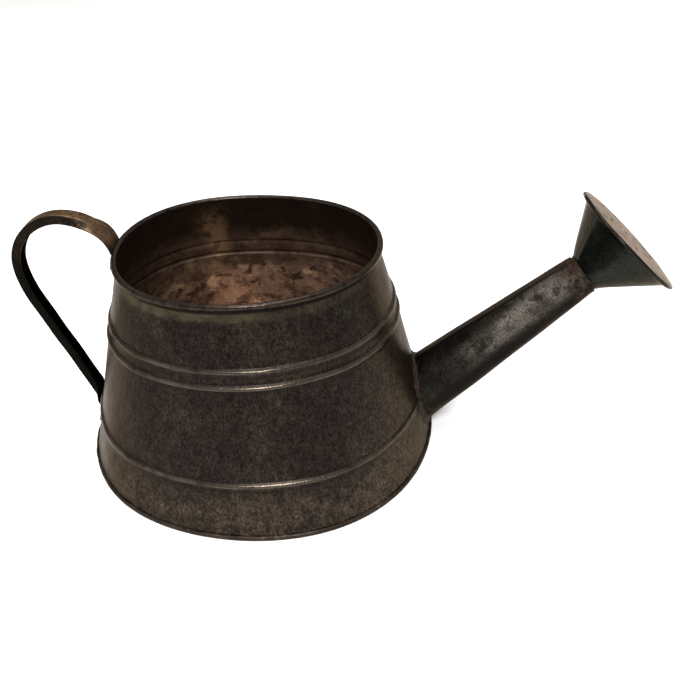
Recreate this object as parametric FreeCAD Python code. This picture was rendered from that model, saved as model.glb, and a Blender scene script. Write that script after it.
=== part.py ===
"""A squat sheet-steel watering can: tapered round body, strap handle, straight spout and rose.

Row frame, millimetres: the origin is the centre of the base pan's flat underside, +Z is up,
+X points to the spout and -X to the handle.  Every sub-part is written to parts/NODE.step.
"""
import math
import os
from FreeCAD import Vector
import Part

# ---- driving dimensions -------------------------------------------------------------
sheet = 0.6                 # thickness of the body, spout and rose sheet
joint_gap = 0.05            # gap left between pieces that only lie against each other
overcut = 2.0               # how far a cutting body is carried past what it cuts

rim_height = 135.0          # centre of the rim wire above the ground
rim_radius = 77.8           # centre of the rim wire from the can's axis
base_radius = 113.0         # outside of the body wall, carried down to the ground
wire_radius = 1.25
curl_turn = 300.0           # how far the wall's edge is rolled round the wire, degrees

bead_width = 4.4            # swaged beads that stiffen the wall
bead_depth = 1.4
bead_shares = (0.246, 0.668, 0.736)   # heights of the beads, as shares of the rim's
lap_start = 148.0           # the wall's lap seam, at the back near the handle, degrees
lap_turn = 4.5
lap_above_hem = 0.5
lap_below_rim = 6.0
trim_below_ground = 8.0     # reach of the body used to trim pieces to the wall
trim_below_rim = 3.0

pan_sheet = 0.7
pan_corner = 0.6
wall_foot = 0.95            # height of the wall's lower edge above the ground
hem_height = 3.0            # top of the pan's crimped edge
hem_reach = 0.9             # how far the crimp stands out from the wall
seal_height = 2.0           # fillet of solder inside, between the wall's foot and the pan
seal_width = 2.4

spout_root_rise = 1.3       # height where the spout's axis meets the wall, in root radii
spout_angle = 40.4          # spout above the horizontal, degrees
spout_length = 129.3        # from the wall to the tip, along the axis
spout_root_radius = 20.7
spout_tip_radius = 12.7
spout_lap_from = 160.0      # the spout's lap seam, turned about its axis from the underside
spout_lap_turn = 26.0
spout_lap_stop = 1.0        # the lap's upper layer stops this far short of the tip
spout_reach = 25.0          # how far inside the wall the spout's cone is drawn before trimming
collar_width = 2.2          # solder collar round the spout's root
collar_height = 1.2

neck_clearance = 0.08       # running fit of the rose's neck in the spout, per side
neck_inside = 16.0          # length of the neck inside the spout
neck_outside = 4.6
rose_tilt = 6.1             # the rose looks up by this much more than the spout, degrees
rose_start = 2.4            # where the cone starts, beyond the spout's tip
rose_radius = 38.6          # outside of the rolled rim
rose_depth = 0.81           # cone, from its throat to its rim, in rose radii
rose_offset = 2.0           # the cone's axis passes this far below the neck's end
cone_stations = ((0.27, 0.22), (0.62, 0.594), (1.0, 1.0))   # shares of its length and its flare
rose_roll = 1.1             # half the thickness of the rolled rim
roll_gap = 0.1              # between the cone's edge and the face rolled over it
roll_tuck = 0.85            # how far the rolled edge comes back in behind the rim
roll_crest = 0.8            # the roll's fullest point, behind the face's edge
dome_height = 2.2
dome_half_radius = 0.52     # a point on the dome, as shares of its radius and height
dome_half_height = 0.72
hole_radius = 0.95
hole_rings = ((9.5, 4, 70.0), (16.5, 4, 45.0), (25.5, 7, 100.0))   # radius, count, first angle
throat_solder = 0.8         # length of the solder ring round the neck, behind the cone
throat_solder_root = 0.2

strap = 0.8                 # thickness of the handle strap
strap_width = 10.8          # over the folded flanges
strap_flat_width = 20.0     # where it lies flat at the rim
flange_depth = 6.0
flange_from = 133.0         # heading at which the folded flanges begin, degrees
strap_leave = 102.0         # heading with which the strap leaves the rim, degrees
strap_bends = ((0.22, 59.3), (0.2437, 105.3), (0.4452, 24.6))   # radius in rim heights, and turn
strap_tail = 9.0            # flat end soldered under the rim
foot_length = 11.0          # flat end soldered to the wall
foot_width = 16.0
foot_bend = 5.0
taper_start = 3.0           # height above the rim where the strap starts to narrow
taper_height = 20.0         # height over which it narrows
solder_skirt = 1.2          # how far solder spreads beyond a strap's edge
solder_depth = 0.95
rim_solder_height = 8.4

# ---- values worked out from them ----------------------------------------------------
bead_heights = [share * rim_height for share in bead_shares]
spout_root_height = spout_root_rise * spout_root_radius
rose_length = rose_depth * rose_radius
strap_arcs = [(size * rim_height, turn) for size, turn in strap_bends]
curl_bore = wire_radius + joint_gap
lean = math.degrees(math.atan2(base_radius - rim_radius, rim_height)
                    + math.asin(curl_bore / math.hypot(base_radius - rim_radius, rim_height)))
along_wall = Vector(-math.sin(math.radians(lean)), 0, math.cos(math.radians(lean)))
out_of_wall = Vector(math.cos(math.radians(lean)), 0, math.sin(math.radians(lean)))
wire_centre = Vector(rim_radius, 0, rim_height)
spout_axis = Vector(math.cos(math.radians(spout_angle)), 0, math.sin(math.radians(spout_angle)))
rose_angle = spout_angle + rose_tilt
rose_axis = Vector(math.cos(math.radians(rose_angle)), 0, math.sin(math.radians(rose_angle)))


def wall_radius(height):
    """Outside radius of the plain wall at a height."""
    return base_radius - height * math.tan(math.radians(lean))


def polar(centre, radius, degrees):
    """A point in the XZ plane, on a circle round centre."""
    turn = math.radians(degrees)
    return centre + Vector(radius * math.cos(turn), 0, radius * math.sin(turn))


def line(start, end):
    return Part.LineSegment(start, end).toShape()


def arc(start, middle, end):
    return Part.Arc(start, middle, end).toShape()


def arc_about(centre, radius, from_degrees, to_degrees):
    middle = (from_degrees + to_degrees) / 2
    return arc(polar(centre, radius, from_degrees), polar(centre, radius, middle),
               polar(centre, radius, to_degrees))


def face_of(edges):
    return Part.Face(Part.Wire(Part.__sortEdges__(edges)))


def revolve(face, start=0.0, turn=360.0):
    """Turn an XZ face about the can's axis."""
    solid = face.revolve(Vector(0, 0, 0), Vector(0, 0, 1), turn)
    solid.rotate(Vector(0, 0, 0), Vector(0, 0, 1), start)
    return solid


def wall_line(low, high, offset):
    """The wall's outer line with its beads, from height low to high, moved out by offset."""
    points = [wall_point(low, offset)]
    edges = []
    for height in bead_heights:
        middle = wall_point(height, offset)
        start = middle - along_wall * (bead_width / 2)
        end = middle + along_wall * (bead_width / 2)
        edges.append(line(points[-1], start))
        edges.append(arc(start, middle + out_of_wall * bead_depth, end))
        points.append(end)
    edges.append(line(points[-1], wall_point(high, offset)))
    return edges


def wall_point(height, offset):
    """A point on the wall's outer line; offset is square to the wall."""
    return Vector(wall_radius(height), 0, height) + out_of_wall * offset


def wall_envelope(offset):
    """Everything inside the wall's outer surface, grown by offset: cuts pieces that meet it."""
    drop = offset * out_of_wall.z
    edges = wall_line(-trim_below_ground - drop, rim_height - trim_below_rim - drop, offset)
    low = edges[0].Vertexes[0].Point
    high = edges[-1].Vertexes[-1].Point
    floor_centre = Vector(0, 0, low.z)
    top_centre = Vector(0, 0, high.z)
    edges += [line(high, top_centre), line(top_centre, floor_centre), line(floor_centre, low)]
    return revolve(face_of(edges))


def above_hem():
    """The room above the pan's crimped edge."""
    corner = Vector(-2 * base_radius, -2 * base_radius, hem_height + joint_gap)
    return Part.makeBox(4 * base_radius, 4 * base_radius, rim_height, corner)


# ---- body ---------------------------------------------------------------------------
def make_body_wall():
    tangent_height = wire_centre.z - curl_bore * math.sin(math.radians(lean))
    edges = wall_line(wall_foot, tangent_height, 0.0) + wall_line(wall_foot, tangent_height, -sheet)
    edges.append(line(wall_point(wall_foot, 0.0), wall_point(wall_foot, -sheet)))
    start = 180.0 + lean
    end = start - curl_turn
    edges.append(arc_about(wire_centre, curl_bore, start, end))
    edges.append(arc_about(wire_centre, curl_bore + sheet, start, end))
    edges.append(line(polar(wire_centre, curl_bore, end), polar(wire_centre, curl_bore + sheet, end)))
    wall = revolve(face_of(edges))
    lap_low = hem_height + lap_above_hem
    lap_high = rim_height - lap_below_rim
    lap = wall_line(lap_low, lap_high, 0.0) + wall_line(lap_low, lap_high, sheet)
    lap.append(line(wall_point(lap_low, 0.0), wall_point(lap_low, sheet)))
    lap.append(line(wall_point(lap_high, 0.0), wall_point(lap_high, sheet)))
    wall = wall.fuse(revolve(face_of(lap), lap_start, lap_turn))
    return wall.cut(spout_cone(-sheet, -spout_reach, spout_reach))


def make_rim_wire():
    return Part.makeTorus(rim_radius, wire_radius, Vector(0, 0, rim_height), Vector(0, 0, 1))


def make_base_pan():
    """A flat disc whose edge is turned up and crimped in over the wall's foot."""
    outer = wall_radius(hem_height) + hem_reach + pan_sheet
    step = outer - pan_sheet
    under_lip = hem_height - pan_sheet
    points = [Vector(0, 0, 0), Vector(outer - pan_corner, 0, 0), Vector(outer, 0, pan_corner),
              Vector(outer, 0, hem_height - pan_corner), Vector(outer - pan_corner, 0, hem_height),
              Vector(wall_radius(hem_height) + joint_gap, 0, hem_height),
              Vector(wall_radius(under_lip) + joint_gap, 0, under_lip),
              Vector(step, 0, under_lip), Vector(step, 0, pan_sheet), Vector(0, 0, pan_sheet)]
    edges = [line(a, b) for a, b in zip(points, points[1:] + points[:1])]
    return revolve(face_of(edges))


def make_base_solder():
    """The fillet of solder that seals the wall's foot to the pan, inside."""
    inset = (sheet + joint_gap) / math.cos(math.radians(lean))
    corner = Vector(wall_radius(pan_sheet) - inset, 0, pan_sheet)
    top = corner + along_wall * seal_height
    toe = corner - Vector(seal_width, 0, 0)
    return revolve(face_of([line(corner, top), line(top, toe), line(toe, corner)]))


# ---- spout --------------------------------------------------------------------------
def spout_point(distance):
    """A point on the spout's axis, measured from the wall."""
    root = Vector(wall_radius(spout_root_height), 0, spout_root_height)
    return root + spout_axis * distance


def on_spout(shape, distance, about=0.0):
    """Carry a shape built up its own +Z axis to the spout's axis."""
    shape.rotate(Vector(0, 0, 0), Vector(0, 0, 1), about)
    shape.rotate(Vector(0, 0, 0), Vector(0, 1, 0), 90.0 - spout_angle)
    shape.translate(spout_point(distance))
    return shape


def spout_cone(offset, start, end, turn=360.0, about=0.0):
    """The spout's outer cone between two distances along its axis, grown by offset."""
    slope = (spout_tip_radius - spout_root_radius) / spout_length
    start_radius = spout_root_radius + slope * start + offset
    end_radius = spout_root_radius + slope * end + offset
    cone = Part.makeCone(start_radius, end_radius, end - start, Vector(0, 0, 0), Vector(0, 0, 1), turn)
    return on_spout(cone, start, about)


def make_spout_tube():
    tube = spout_cone(0.0, -spout_reach, spout_length)
    lap_end = spout_length - spout_lap_stop
    lap = spout_cone(sheet, -spout_reach, lap_end, spout_lap_turn, spout_lap_from)
    bore = spout_cone(-sheet, -spout_reach - overcut, spout_length + overcut)
    return tube.fuse(lap).cut(bore).cut(wall_envelope(0.0)).removeSplitter()


def make_spout_solder():
    """A thin collar of solder on the wall, round the spout's root."""
    ring = spout_cone(collar_width, -spout_reach, 2 * spout_root_radius)
    ring = ring.cut(spout_cone(sheet + joint_gap, -spout_reach - overcut,
                               2 * spout_root_radius + overcut))
    ring = ring.common(wall_envelope(collar_height)).cut(wall_envelope(0.0))
    return ring.common(above_hem())


# ---- rose ---------------------------------------------------------------------------
neck_radius = spout_tip_radius - sheet - neck_clearance
cone_edge_radius = rose_radius - 2 * rose_roll - roll_gap
rose_throat = spout_point(spout_length + rose_start)
rose_side = Vector(rose_axis.z, 0, -rose_axis.x)
rose_rim_centre = rose_throat + rose_side * rose_offset + rose_axis * rose_length


def on_rose(shape):
    """Carry a shape built up its own +Z axis to the rose's rim plane."""
    shape.rotate(Vector(0, 0, 0), Vector(0, 1, 0), 90.0 - rose_angle)
    shape.translate(rose_rim_centre)
    return shape


def cone_solid(offset):
    """The rose's cone as a solid, grown by offset: a straight cone with a flared throat."""
    throat_radius = neck_radius + joint_gap + sheet
    sections = [(rose_throat, spout_axis, throat_radius + offset)]
    for along, flare in cone_stations:
        radius = throat_radius + flare * (cone_edge_radius - throat_radius) + offset
        sections.append((rose_rim_centre - rose_axis * (1.0 - along) * rose_length, rose_axis, radius))
    wires = [Part.Wire(Part.makeCircle(radius, centre, normal)) for centre, normal, radius in sections]
    return Part.makeLoft(wires, True, False)


def make_rose_neck():
    start = spout_length - neck_inside
    length = neck_inside + neck_outside
    tube = Part.makeCylinder(neck_radius, length).cut(Part.makeCylinder(neck_radius - sheet, length))
    return on_spout(tube, start)


def make_rose_cone():
    return cone_solid(0.0).cut(cone_solid(-sheet))


def make_rose_face():
    """A domed, drilled disc whose edge is rolled back over the cone's edge."""
    seat = rose_radius - 2 * rose_roll
    top = Vector(0, 0, dome_height + sheet)
    bottom = Vector(0, 0, dome_height)
    half_bottom = Vector(seat * dome_half_radius, 0, dome_height * dome_half_height)
    half_top = half_bottom + Vector(0, 0, sheet)
    outer_edge = Vector(seat, 0, joint_gap + sheet)
    inner_edge = Vector(seat - roll_gap, 0, joint_gap)
    outer_crest = Vector(rose_radius, 0, -roll_crest)
    inner_crest = Vector(rose_radius - sheet, 0, -roll_crest)
    outer_tuck = Vector(rose_radius - roll_tuck, 0, -2 * rose_roll)
    inner_tuck = outer_tuck + Vector(-sheet * 0.8, 0, sheet * 0.3)
    edges = [line(bottom, top), arc(top, half_top, outer_edge),
             arc(outer_edge, outer_crest, outer_tuck), line(outer_tuck, inner_tuck),
             arc(inner_tuck, inner_crest, inner_edge), arc(inner_edge, half_bottom, bottom)]
    disc = revolve(face_of(edges))
    drills = []
    for ring, count, first in hole_rings:
        for index in range(count):
            turn = math.radians(first + 360.0 * index / count)
            spot = Vector(ring * math.cos(turn), ring * math.sin(turn), -overcut)
            drills.append(Part.makeCylinder(hole_radius, dome_height + 2 * overcut, spot))
    return on_rose(disc.cut(Part.makeCompound(drills)))


def make_rose_solder():
    """A ring of solder that closes the step between the neck and the cone's throat."""
    inner = neck_radius + joint_gap
    ring = Part.makeCone(inner + throat_solder_root, inner + sheet, throat_solder)
    ring = ring.cut(Part.makeCylinder(inner, throat_solder))
    return on_spout(ring, spout_length + rose_start - throat_solder - joint_gap)


# ---- handle -------------------------------------------------------------------------
def heading(degrees):
    return Vector(math.cos(math.radians(degrees)), 0, math.sin(math.radians(degrees)))


def route(start, direction, steps, offset):
    """Edges of a planar route of lines and arcs, moved to its left by offset.

    A step is (length, 0) for a line, or (radius, turn) for an arc, turning left when positive.
    """
    point = start + heading(direction + 90) * offset
    edges = []
    for size, turn in steps:
        if turn == 0:
            end = point + heading(direction) * size
            edges.append(line(point, end))
        else:
            side = math.copysign(1, turn)
            radius = size - side * offset
            centre = point + heading(direction + side * 90) * radius
            middle = centre - heading(direction + turn / 2 + side * 90) * radius
            end = centre - heading(direction + turn + side * 90) * radius
            edges.append(arc(point, middle, end))
        direction += turn
        point = end
    return edges, point, direction


def band(start, direction, steps, depth, width, at=0.0):
    """The strip between a route and the same route moved left by depth, as wide as width in Y."""
    outer, outer_end, last = route(start, direction, steps, 0.0)
    inner, inner_end, last = route(start, direction, steps, depth)
    inner_start = start + heading(direction + 90) * depth
    face = face_of(outer + inner + [line(start, inner_start), line(outer_end, inner_end)])
    face.translate(Vector(0, at - width / 2, 0))
    return face.extrude(Vector(0, width, 0))


rim_on_handle_side = Vector(-rim_radius, 0, rim_height)
wall_outwards = 180.0 - lean            # the wall's outward heading on the handle's side
wall_up = 90.0 - lean
wall_down = 270.0 - lean
roll_radius = curl_bore + sheet + joint_gap
leave_turn = strap_leave - wall_up
leave_cosine = math.cos(math.radians(leave_turn))
leave_bend = (roll_radius * leave_cosine - curl_bore - joint_gap) / (1 - leave_cosine)
leave_point = rim_on_handle_side + heading(strap_leave + 90) * roll_radius
leave_centre = leave_point + heading(strap_leave + 90) * leave_bend
tail_top = leave_centre - heading(wall_up + 90) * leave_bend
tail_end = tail_top - heading(wall_up) * strap_tail
run_heading = strap_leave + sum(turn for radius, turn in strap_arcs)
foot_turn = wall_down - run_heading


def run_length():
    """Length of the straight run that brings the foot flat onto the wall."""
    run_start = route(leave_point, strap_leave, strap_arcs, 0.0)[1]
    foot_start = route(run_start, run_heading, [(foot_bend, foot_turn)], 0.0)[1]
    wall_spot = Vector(-wall_radius(0.0), 0, 0)
    wanted = strap + joint_gap
    found = (foot_start - wall_spot).dot(heading(wall_outwards))
    return (wanted - found) / heading(run_heading).dot(heading(wall_outwards))


def make_handle_strap():
    """One strip: flat under the rim, folded to a channel for the grip, flat again at the foot."""
    tail = [(strap_tail, 0), (leave_bend, leave_turn)]
    run = strap_arcs + [(run_length(), 0), (foot_bend, foot_turn), (foot_length, 0)]
    web = band(tail_end, wall_up, tail + run, strap, strap_width)
    flat = band(tail_end, wall_up, tail + [strap_arcs[0]], strap, strap_flat_width)
    half_wide = strap_flat_width / 2
    half_narrow = strap_width / 2
    low = tail_end.z - strap_tail
    shoulder = rim_height + taper_start
    corners = [(-half_wide, low), (half_wide, low), (half_wide, shoulder),
               (half_narrow, shoulder + taper_height), (-half_narrow, shoulder + taper_height),
               (-half_wide, shoulder), (-half_wide, low)]
    outline = Part.makePolygon([Vector(-2 * rim_radius, y, z) for y, z in corners])
    plan = Part.Face(outline).extrude(Vector(2 * rim_radius, 0, 0))
    strip = web.fuse(flat.common(plan))
    foot_start = route(leave_point, strap_leave, run[:5], 0.0)[1]
    strip = strip.fuse(band(foot_start, wall_down, [(foot_length, 0)], strap, foot_width))
    skipped = flange_from - strap_leave
    flange_start = route(leave_point, strap_leave, [(strap_arcs[0][0], skipped)], 0.0)[1]
    folded = [(strap_arcs[0][0], strap_arcs[0][1] - skipped)] + strap_arcs[1:]
    folded.append((run_length() + foot_bend, 0))
    trim = wall_envelope(joint_gap)
    for side in (-1, 1):
        at = side * (strap_width - strap) / 2
        flange = band(flange_start, flange_from, folded, flange_depth, strap, at)
        strip = strip.fuse(flange.cut(trim))
    return strip.cut(wall_envelope(joint_gap / 2)).removeSplitter()


def solder_pad(centre_height, height, strap_span):
    """Solder lying on the wall at the handle's side, as the space left round the strap's end."""
    middle = Vector(-wall_radius(centre_height), 0, centre_height)
    width = strap_span + 2 * solder_skirt
    corner = middle + Vector(-width / 2, -width / 2, -height / 2)
    block = Part.makeBox(width, width, height, corner)
    pad = block.common(wall_envelope(solder_depth)).cut(wall_envelope(0.0))
    return pad.cut(make_handle_strap()).common(above_hem())


def make_handle_rim_solder():
    return solder_pad(tail_end.z - solder_skirt + rim_solder_height / 2, rim_solder_height,
                      strap_flat_width)


def make_handle_foot_solder():
    foot_start = route(leave_point, strap_leave, strap_arcs + [(run_length(), 0)], 0.0)[1]
    height = foot_length + 2 * solder_skirt
    return solder_pad(foot_start.z - foot_bend - foot_length / 2, height, foot_width)


# ---- write every sub-part -----------------------------------------------------------
makers = {
    "body_wall": make_body_wall,
    "rim_wire": make_rim_wire,
    "base_pan": make_base_pan,
    "base_solder": make_base_solder,
    "spout_tube": make_spout_tube,
    "spout_solder": make_spout_solder,
    "handle_strap": make_handle_strap,
    "handle_rim_solder": make_handle_rim_solder,
    "handle_foot_solder": make_handle_foot_solder,
    "rose_neck": make_rose_neck,
    "rose_cone": make_rose_cone,
    "rose_face": make_rose_face,
    "rose_solder": make_rose_solder,
}

os.makedirs("parts", exist_ok=True)
for node, maker in makers.items():
    shape = maker()
    shape.exportStep("parts/" + node + ".step")
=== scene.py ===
"""Looks of the watering can: aged sheet steel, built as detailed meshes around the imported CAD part.

Meshes are drawn in millimetres and turned to metres with MM; materials, lights and camera are in
metres.  The frame is the CAD's: origin under the base pan, +Z up, +X to the spout, -X to the handle.
"""
import math

import bpy
import bmesh
import numpy as np
from mathutils import Matrix, Vector


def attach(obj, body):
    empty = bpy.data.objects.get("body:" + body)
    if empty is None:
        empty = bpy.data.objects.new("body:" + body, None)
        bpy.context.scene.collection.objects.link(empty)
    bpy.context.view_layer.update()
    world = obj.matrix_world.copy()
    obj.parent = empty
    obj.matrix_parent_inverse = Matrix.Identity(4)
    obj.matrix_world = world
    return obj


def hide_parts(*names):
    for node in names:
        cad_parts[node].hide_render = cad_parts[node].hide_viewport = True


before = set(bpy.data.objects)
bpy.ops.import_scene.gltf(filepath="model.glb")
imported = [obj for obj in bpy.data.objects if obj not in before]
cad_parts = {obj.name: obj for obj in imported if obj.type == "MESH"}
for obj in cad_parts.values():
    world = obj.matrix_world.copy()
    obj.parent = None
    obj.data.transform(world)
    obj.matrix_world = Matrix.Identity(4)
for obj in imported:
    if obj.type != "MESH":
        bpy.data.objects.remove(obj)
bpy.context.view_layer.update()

MM = 0.001

# ---- sizes, from the frame and the can's own dimensions, mm ---------------------------
SHEET = 0.6
RIM_HEIGHT = 135.0
RIM_RADIUS = 77.8           # centre of the rim wire
BASE_RADIUS = 113.0         # outside of the wall, carried down to the ground
WIRE_RADIUS = 1.25
GAP = 0.05                  # between pieces that only lie against each other
CURL_BORE = WIRE_RADIUS + GAP
CURL_TURN = 300.0
BEAD_WIDTH = 4.6
BEAD_DEPTH = 1.4
BEAD_HEIGHTS = (33.2, 90.2, 99.4)
LAP_START, LAP_END = math.radians(148.0), math.radians(152.5)
LAP_ABOVE_HEM, LAP_BELOW_RIM = 0.4, 6.0
WALL_FOOT = 0.95
PAN_SHEET = 0.7
HEM_HEIGHT = 3.0
HEM_REACH = 0.9
SEAL_HEIGHT, SEAL_WIDTH = 2.0, 2.4   # solder fillet inside, between the wall's foot and the pan
SPOUT_ROOT_HEIGHT = 26.9
SPOUT_TURN = math.radians(40.4)
SPOUT_LENGTH = 129.3
SPOUT_ROOT_RADIUS = 20.7
SPOUT_TIP_RADIUS = 12.7
SPOUT_REACH = 26.0          # how far inside the wall the drill for the spout's hole starts
SPOUT_LAP = math.radians(158.0), math.radians(185.0)   # round from the underside, by the far side
NECK_INSIDE, NECK_OUTSIDE = 16.0, 4.6
NECK_CLEARANCE = 0.08
ROSE_TURN = math.radians(46.5)
ROSE_START = 2.4
ROSE_OFFSET = 2.0
ROSE_LENGTH = 31.27
ROSE_RADIUS = 38.6
ROSE_ROLL = 1.1
DOME_HEIGHT = 2.2
THROAT_SOLDER = 0.85        # the solder ring starts this far behind the cone
HOLE_RADIUS = 0.95
DRILL_LENGTH = 5.0
DRILL_ENDS = (0.55, 1.75)   # the tapered drill's two ends, in hole radii
HOLE_RINGS = ((9.5, 4, 70.0), (16.5, 4, 45.0), (25.5, 7, 100.0))   # radius, count, first angle
STRAP = 0.8
STRAP_WEB, STRAP_CORNER, STRAP_EDGE = 3.9, 1.9, 4.3   # half the strip's width, in three parts
STRAP_LEAVE = 102.0
STRAP_ARCS = ((29.7, 59.3), (32.9, 105.3), (60.1, 24.6))   # radius, turn
STRAP_TAIL = 9.0
FOLD_START, FOLD_LENGTH = 8.0, 38.0   # beyond the tail the flat strip folds to a channel
UNFOLD_START, UNFOLD_END = 30.0, 15.0   # distances from the strip's end where it opens out again
FOOT_NARROWING = 0.2
FOOT_BEND = 5.0
FOOT_LENGTH = 11.0
RIM_SHIFT = 2.5             # the strip sits this far off centre at the rim
RIM_OUT, FOOT_OUT = 0.3, 0.6   # how far the wall's out-of-round carries the strap's ends

# How many points go round the body, the spout and rose, and the neck
WALL_COUNT, PAN_COUNT, WIRE_COUNT = 384, 360, 256
ROUND_COUNT, NECK_COUNT = 192, 96

LEAN = math.degrees(math.atan2(BASE_RADIUS - RIM_RADIUS, RIM_HEIGHT)
                    + math.asin(CURL_BORE / math.hypot(BASE_RADIUS - RIM_RADIUS, RIM_HEIGHT)))
ALONG = np.array([-math.sin(math.radians(LEAN)), math.cos(math.radians(LEAN))])   # up the wall (r, z)
OUT = np.array([math.cos(math.radians(LEAN)), math.sin(math.radians(LEAN))])      # out of the wall

# The can is a little out of round: cosine and sine shares of the radius at the rim and the base
RIM_SHARES = ((2, 0.032, -0.008), (3, 0.011, 0.007), (4, -0.011, 0.0))
BASE_SHARES = ((2, 0.025, -0.018), (3, 0.001, 0.016), (4, -0.014, 0.006))


# ---- small helpers ---------------------------------------------------------------------
def wall_radius(height):
    """Outside radius of the plain wall at a height."""
    return BASE_RADIUS - height * math.tan(math.radians(LEAN))


def smooth(low, high, value):
    """0 below low, 1 above high, eased between."""
    share = np.clip((np.asarray(value, float) - low) / (high - low), 0.0, 1.0)
    return share * share * (3.0 - 2.0 * share)


def out_of_round(theta, height):
    """Share by which the radius differs from the plain cone's."""
    up = np.clip(height / RIM_HEIGHT, 0.0, 1.0)
    total = np.zeros(np.broadcast(theta, height).shape)
    for share, table in ((1.0 - up, BASE_SHARES), (up, RIM_SHARES)):
        for wave, cosine, sine in table:
            total = total + share * (cosine * np.cos(wave * theta) + sine * np.sin(wave * theta))
    return total


def dents(theta, height):
    """Slow hand-worked unevenness of the sheet, mm."""
    flat = smooth(2.0, 14.0, height) * (1.0 - smooth(122.0, 131.0, height))
    waves = (0.16 * np.sin(5 * theta + 0.7 + height * 0.021)
             + 0.12 * np.sin(9 * theta - 1.1 - height * 0.034)
             + 0.09 * np.sin(13 * theta + 2.3 + height * 0.055)
             + 0.11 * np.sin(7 * theta + 0.4) * np.sin(height * 0.071 + 0.8)
             + 0.06 * np.sin(21 * theta + 1.9 - height * 0.09))
    return waves * flat


def warp(radius, theta, height):
    """Radius in the real, slightly uneven body of a point of the round one."""
    return radius * (1.0 + out_of_round(theta, height)) + dents(theta, height)


def full_turn(count):
    """Evenly spaced angles round a circle."""
    return np.linspace(0.0, 2.0 * math.pi, count, endpoint=False)


def round_points(radius, theta, height):
    """Points from grids of radius, turn and height, row by row."""
    return np.stack([radius * np.cos(theta), radius * np.sin(theta), height], axis=2).reshape(-1, 3)


def new_object(name, vertices, faces):
    """A smooth-shaded object from points in millimetres."""
    mesh = bpy.data.meshes.new(name)
    mesh.from_pydata([tuple(v) for v in np.asarray(vertices, float) * MM], [], faces)
    mesh.update()
    mesh.polygons.foreach_set("use_smooth", [True] * len(mesh.polygons))
    obj = bpy.data.objects.new(name, mesh)
    bpy.context.scene.collection.objects.link(obj)
    return obj


def grid_faces(rows, columns, close_rows=False, close_columns=True):
    """Quads of a grid of vertices stored row by row."""
    faces = []
    for i in range(rows if close_rows else rows - 1):
        j = (i + 1) % rows
        for k in range(columns if close_columns else columns - 1):
            m = (k + 1) % columns
            faces.append((i * columns + k, i * columns + m, j * columns + m, j * columns + k))
    return faces


def finish_mesh(obj, merge=0.0):
    """Weld doubled points and turn every face outwards."""
    bm = bmesh.new()
    bm.from_mesh(obj.data)
    if merge:
        bmesh.ops.remove_doubles(bm, verts=bm.verts, dist=merge * MM)
    bmesh.ops.recalc_face_normals(bm, faces=bm.faces)
    bm.to_mesh(obj.data)
    bm.free()
    return obj


def lathe(name, profile, count, swell=None):
    """Turn a closed (r, z) profile about the can's axis; swell adds to the radius, mm."""
    theta = full_turn(count)[None, :]
    r = profile[:, 0][:, None] + 0.0 * theta
    z = profile[:, 1][:, None] + 0.0 * theta
    if swell is not None:
        r = r + swell(theta, z)
    points = round_points(warp(r, theta, z), theta, z)
    obj = new_object(name, points, grid_faces(len(profile), count, close_rows=True))
    return finish_mesh(obj)


def ring_mesh(name, rows):
    """A closed tube of rings, each a row of points, the last joined to the first."""
    faces = grid_faces(len(rows), len(rows[0]), close_rows=True)
    return finish_mesh(new_object(name, np.concatenate(rows), faces))


def cut_with(obj, cutter):
    """Take the cutter out of obj for good, then drop it."""
    bm = bmesh.new()
    bm.from_mesh(obj.data)
    bmesh.ops.triangulate(bm, faces=bm.faces)
    bm.to_mesh(obj.data)
    bm.free()
    mod = obj.modifiers.new("cut", "BOOLEAN")
    mod.operation = "DIFFERENCE"
    mod.solver = "EXACT"
    mod.object = cutter
    graph = bpy.context.evaluated_depsgraph_get()
    mesh = bpy.data.meshes.new_from_object(obj.evaluated_get(graph))
    obj.modifiers.clear()
    obj.data = mesh
    bpy.data.objects.remove(cutter)
    return obj


def polar(centre, radius, start, end, count):
    """Points of an arc in the (r, z) plane, angles in degrees."""
    turn = np.radians(np.linspace(start, end, count))
    return np.stack([centre[0] + radius * np.cos(turn), centre[1] + radius * np.sin(turn)], axis=1)


# ---- the body ---------------------------------------------------------------------------
def bead_bulge(height):
    """How far the swaged beads push the sheet out at a height, mm."""
    bulge = 0.0 * np.asarray(height, float)
    for centre in BEAD_HEIGHTS:
        across = np.clip((height - centre) / (BEAD_WIDTH / 2 * ALONG[1]), -1.0, 1.0)
        bulge = bulge + BEAD_DEPTH * (1.0 - across * across) ** 1.25
    return bulge


def wall_heights(low, high):
    """Heights for the wall's rows: close together over the beads, wider on the plain sheet."""
    heights = [low]
    while heights[-1] < high - 0.4:
        nearest = min(abs(heights[-1] + 0.5 - centre) for centre in BEAD_HEIGHTS)
        heights.append(heights[-1] + (0.4 if nearest < BEAD_WIDTH * 0.62 else 2.6))
    heights[-1] = high
    return np.array(heights)


def wall_side(heights, offset):
    """The wall's line with its beads, offset square to the sheet."""
    r = wall_radius(heights) + OUT[0] * (bead_bulge(heights) + offset)
    z = heights + OUT[1] * (bead_bulge(heights) + offset)
    return np.stack([r, z], axis=1)


def wall_distance(x, y, z):
    """How far outside the real wall's outer surface a point lies, level, mm."""
    theta = np.arctan2(y, x)
    height = np.asarray(z, float)
    surface = warp(wall_radius(height) + bead_bulge(height) * OUT[0], theta, height)
    return np.hypot(x, y) - surface


def lap_swell(theta, height):
    """The second layer of sheet at the lap seam."""
    soft = 0.006
    inside = smooth(LAP_START - soft, LAP_START + soft, theta)
    inside = inside * (1.0 - smooth(LAP_END - soft, LAP_END + soft, theta))
    inside = inside * (height > HEM_HEIGHT + LAP_ABOVE_HEM) * (height < RIM_HEIGHT - LAP_BELOW_RIM)
    return SHEET * 0.8 * inside


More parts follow.
